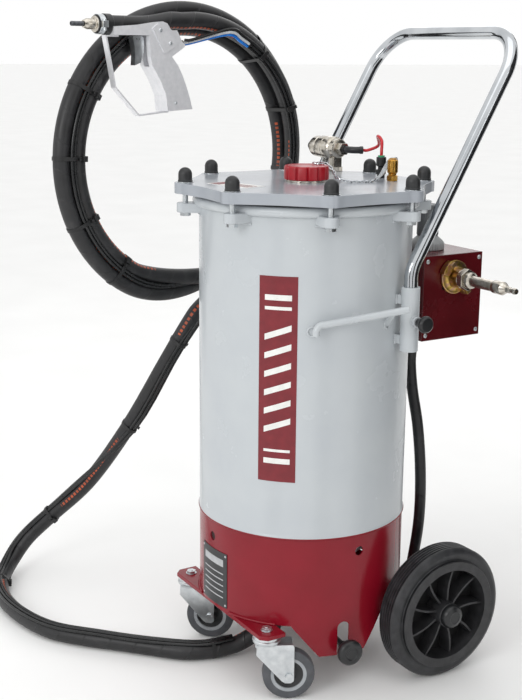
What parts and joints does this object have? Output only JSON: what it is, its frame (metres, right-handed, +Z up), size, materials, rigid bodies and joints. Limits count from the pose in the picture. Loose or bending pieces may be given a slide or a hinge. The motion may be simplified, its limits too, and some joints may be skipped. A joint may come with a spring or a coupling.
{
  "type": "mobile blasting pressure pot",
  "caption": "Tall steel pressure pot on wheels with a bolted lid, filler cap, push handle, control box, and a coiled blast hose ending in a trigger gun.",
  "frame": {"origin": "on the floor, under the middle of the box around everything except the blast hose", "axes": "+Z up, +X along the wheel axle towards the side with the outlet knob, +Y to the rear where the handle leans and the control box sits"},
  "size_m": [0.9092, 0.8244, 1.269],
  "materials": {
    "pot_paint": "gloss light grey enamel",
    "lid_paint": "semi-gloss blue-grey enamel",
    "skirt_paint": "gloss crimson enamel",
    "box_paint": "gloss dark red powder coat",
    "red_plastic": "moulded red nylon",
    "hose_rubber": "wrapped black rubber with a fabric print",
    "seal_rubber": "black rubber",
    "bolt_zinc": "zinc plated, under a black rubber cap",
    "caster_zinc": "bright zinc plate",
    "caster_rubber": "grey rubber tread on a grey centre",
    "tyre_rubber": "ribbed black solid rubber",
    "wheel_plastic": "moulded black polypropylene",
    "axle_steel": "drawn steel bar",
    "chrome_tube": "polished chrome plate",
    "black_plastic": "moulded black plastic",
    "regulator_grey": "moulded dark grey plastic",
    "yellow_zinc": "yellow passivated malleable iron",
    "nickel": "turned and nickel plated",
    "brass": "turned brass",
    "cast_aluminium": "tumbled aluminium casting",
    "trigger_chrome": "chromed steel",
    "carbide": "sintered carbide"
  },
  "bodies": {
    "root": {"tank_shell": "pot_paint", "handle_sleeve_right": "pot_paint", "handle_sleeve_left": "pot_paint", "hose_hanger_right": "pot_paint", "hose_hanger_left": "pot_paint", "lid_plate": "lid_paint", "skirt": "skirt_paint", "front_crossbar": "skirt_paint", "axle_beam": "skirt_paint", "control_box": "box_paint", "box_cover": "box_paint", "signal_tube": "red_plastic", "blast_hose_run": "hose_rubber", "hose_coil": "hose_rubber", "hose_lead": "hose_rubber", "air_hose": "hose_rubber", "lid_gasket": "seal_rubber", "lid_bolt_1": "bolt_zinc", "lid_bolt_2": "bolt_zinc", "lid_bolt_3": "bolt_zinc", "lid_bolt_4": "bolt_zinc", "lid_bolt_5": "bolt_zinc", "lid_bolt_6": "bolt_zinc", "lid_bolt_7": "bolt_zinc", "lid_bolt_8": "bolt_zinc", "caster_bolt_right": "caster_zinc", "caster_bolt_left": "caster_zinc", "rear_axle": "axle_steel", "push_handle": "chrome_tube", "valve_elbow": "black_plastic", "push_fitting": "black_plastic", "regulator": "regulator_grey", "inlet_coupling": "yellow_zinc", "air_nipple": "nickel", "filler_neck": "nickel", "exhaust_valve": "nickel", "outlet_valve": "nickel", "mixing_tee": "nickel", "nozzle_holder": "nickel", "safety_valve": "brass", "gun_body": "cast_aluminium", "gun_cover": "cast_aluminium", "gun_guard": "cast_aluminium", "nozzle": "carbide"},
    "wheel_right": {"wheel_rim_right": "wheel_plastic", "wheel_tyre_right": "tyre_rubber", "hub_cap_right": "wheel_plastic"},
    "wheel_left": {"wheel_rim_left": "wheel_plastic", "wheel_tyre_left": "tyre_rubber", "hub_cap_left": "wheel_plastic"},
    "caster_right": {"caster_fork_right": "caster_zinc"},
    "caster_left": {"caster_fork_left": "caster_zinc"},
    "caster_roller_right": {"caster_wheel_right": "caster_rubber"},
    "caster_roller_left": {"caster_wheel_left": "caster_rubber"},
    "knob_right": {"clamp_knob_right": "black_plastic"},
    "knob_left": {"clamp_knob_left": "black_plastic"},
    "cap": {"filler_cap": "red_plastic"},
    "pressure_knob": {"regulator_knob": "black_plastic"},
    "outlet_spindle": {"outlet_knob": "black_plastic"},
    "gun_trigger": {"trigger": "trigger_chrome"}
  },
  "joints": [
    {"name": "wheel_spin_right", "type": "hinge", "parent": "root", "child": "wheel_right", "pos_m": [0.2329, 0.18076, 0.13], "axis": [1, 0, 0], "continuous": true},
    {"name": "wheel_spin_left", "type": "hinge", "parent": "root", "child": "wheel_left", "pos_m": [-0.2271, 0.18076, 0.13], "axis": [1, 0, 0], "continuous": true},
    {"name": "caster_swivel_right", "type": "hinge", "parent": "root", "child": "caster_right", "pos_m": [0.1509, -0.15924, 0.115], "axis": [0, 0, 1], "continuous": true},
    {"name": "caster_spin_right", "type": "hinge", "parent": "caster_right", "child": "caster_roller_right", "pos_m": [0.16983, -0.12287, 0.049], "axis": [-0.887, 0.4617, 0], "continuous": true},
    {"name": "caster_swivel_left", "type": "hinge", "parent": "root", "child": "caster_left", "pos_m": [-0.1451, -0.15924, 0.115], "axis": [0, 0, 1], "continuous": true},
    {"name": "caster_spin_left", "type": "hinge", "parent": "caster_left", "child": "caster_roller_left", "pos_m": [-0.11875, -0.12783, 0.049], "axis": [-0.766, 0.6428, 0], "continuous": true},
    {"name": "knob_turn_right", "type": "hinge", "parent": "root", "child": "knob_right", "pos_m": [0.2379, 0.10226, 0.705], "axis": [1, 0, 0], "range_deg": [0, 360]},
    {"name": "knob_turn_left", "type": "hinge", "parent": "root", "child": "knob_left", "pos_m": [-0.2321, 0.10226, 0.705], "axis": [-1, 0, 0], "range_deg": [0, 360]},
    {"name": "cap_lift", "type": "slide", "parent": "root", "child": "cap", "axis": [0, 0, 1], "range_m": [0, 0.07]},
    {"name": "pressure_turn", "type": "hinge", "parent": "root", "child": "pressure_knob", "pos_m": [0.0249, 0.28376, 0.85], "axis": [0, 0, 1], "range_deg": [-135, 135]},
    {"name": "outlet_turn", "type": "hinge", "parent": "root", "child": "outlet_spindle", "pos_m": [0.20065, -0.02115, 0.09], "axis": [0.9888, -0.1495, 0], "range_deg": [0, 90]},
    {"name": "trigger_pull", "type": "hinge", "parent": "root", "child": "gun_trigger", "pos_m": [-0.24577, -0.21296, 1.1965], "axis": [0.9888, 0.1495, 0], "range_deg": [0, 15], "stiffness_Nm_per_rad": 0.5, "springref_deg": -6.88}
  ]
}
